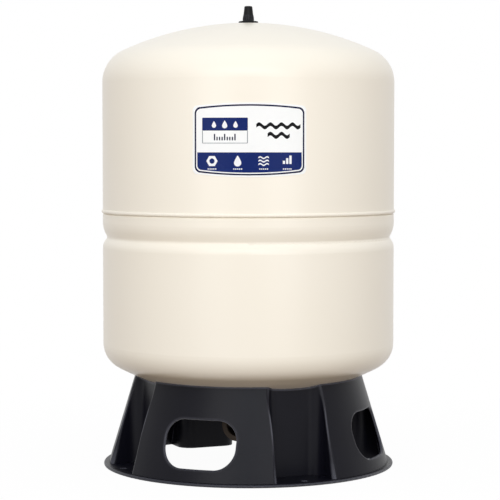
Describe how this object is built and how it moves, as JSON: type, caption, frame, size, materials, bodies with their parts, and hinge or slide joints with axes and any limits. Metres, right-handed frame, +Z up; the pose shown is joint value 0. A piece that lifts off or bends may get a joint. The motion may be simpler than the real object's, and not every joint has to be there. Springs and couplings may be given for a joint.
{
  "type": "well pressure tank",
  "caption": "Upright steel diaphragm pressure tank with cream enamel, an air valve on top and a black moulded stand around its water elbow.",
  "frame": {"origin": "middle of the stand's foot, on the floor", "axes": "+Z up along the tank's axis, -Y towards the front with the label"},
  "size_m": [0.3926, 0.3924, 0.6139],
  "materials": {
    "cream_paint": "satin",
    "stand_plastic": "satin",
    "cap_plastic": "satin",
    "stainless_steel": "satin",
    "plated_steel": "satin",
    "spring_steel": "satin",
    "brass": "satin",
    "black_rubber": "matte",
    "butyl_rubber": "matte",
    "white_polypropylene": "satin",
    "label_film": "gloss"
  },
  "bodies": {
    "tank": {"upper_shell": "cream_paint", "lower_shell": "cream_paint", "clench_ring": "plated_steel", "diaphragm": "butyl_rubber", "water_liner": "white_polypropylene", "port_guard": "white_polypropylene", "port_seal": "black_rubber", "port_lock_nut": "stainless_steel", "outlet_gasket": "black_rubber", "outlet_elbow": "stainless_steel", "valve_boss": "plated_steel", "valve_stem": "brass", "valve_stem_gasket": "black_rubber", "valve_core_barrel": "brass", "valve_core_spring": "spring_steel", "base_stand": "stand_plastic", "front_label": "label_film", "stand_stud_front_right": "cream_paint", "stand_washer_front_right": "plated_steel", "stand_nut_front_right": "plated_steel", "stand_stud_back_right": "cream_paint", "stand_washer_back_right": "plated_steel", "stand_nut_back_right": "plated_steel", "stand_stud_back_left": "cream_paint", "stand_washer_back_left": "plated_steel", "stand_nut_back_left": "plated_steel", "stand_stud_front_left": "cream_paint", "stand_washer_front_left": "plated_steel", "stand_nut_front_left": "plated_steel"},
    "core_pin": {"valve_core_pin": "plated_steel", "valve_core_seal": "black_rubber"},
    "cap": {"valve_cap": "cap_plastic"},
    "cap_seal": {"valve_cap_seal": "black_rubber"}
  },
  "joints": [
    {"name": "cap_rise", "type": "slide", "parent": "tank", "child": "cap_seal", "axis": [0, 0, 1], "range_m": [0, 0.00476]},
    {"name": "cap_turn", "type": "hinge", "parent": "cap_seal", "child": "cap", "pos_m": [0, 0, 0.6], "axis": [0, 0, 1], "range_deg": [0, 2160]},
    {"name": "pin_press", "type": "slide", "parent": "tank", "child": "core_pin", "axis": [0, 0, -1], "range_m": [0, 0.001], "stiffness_N_per_m": 600, "springref_m": -0.006, "deforming": ["valve_core_spring"]}
  ],
  "couplings": [
    {"joint": "cap_turn", "follows": "cap_rise", "rad_per_m": 7915.8}
  ]
}
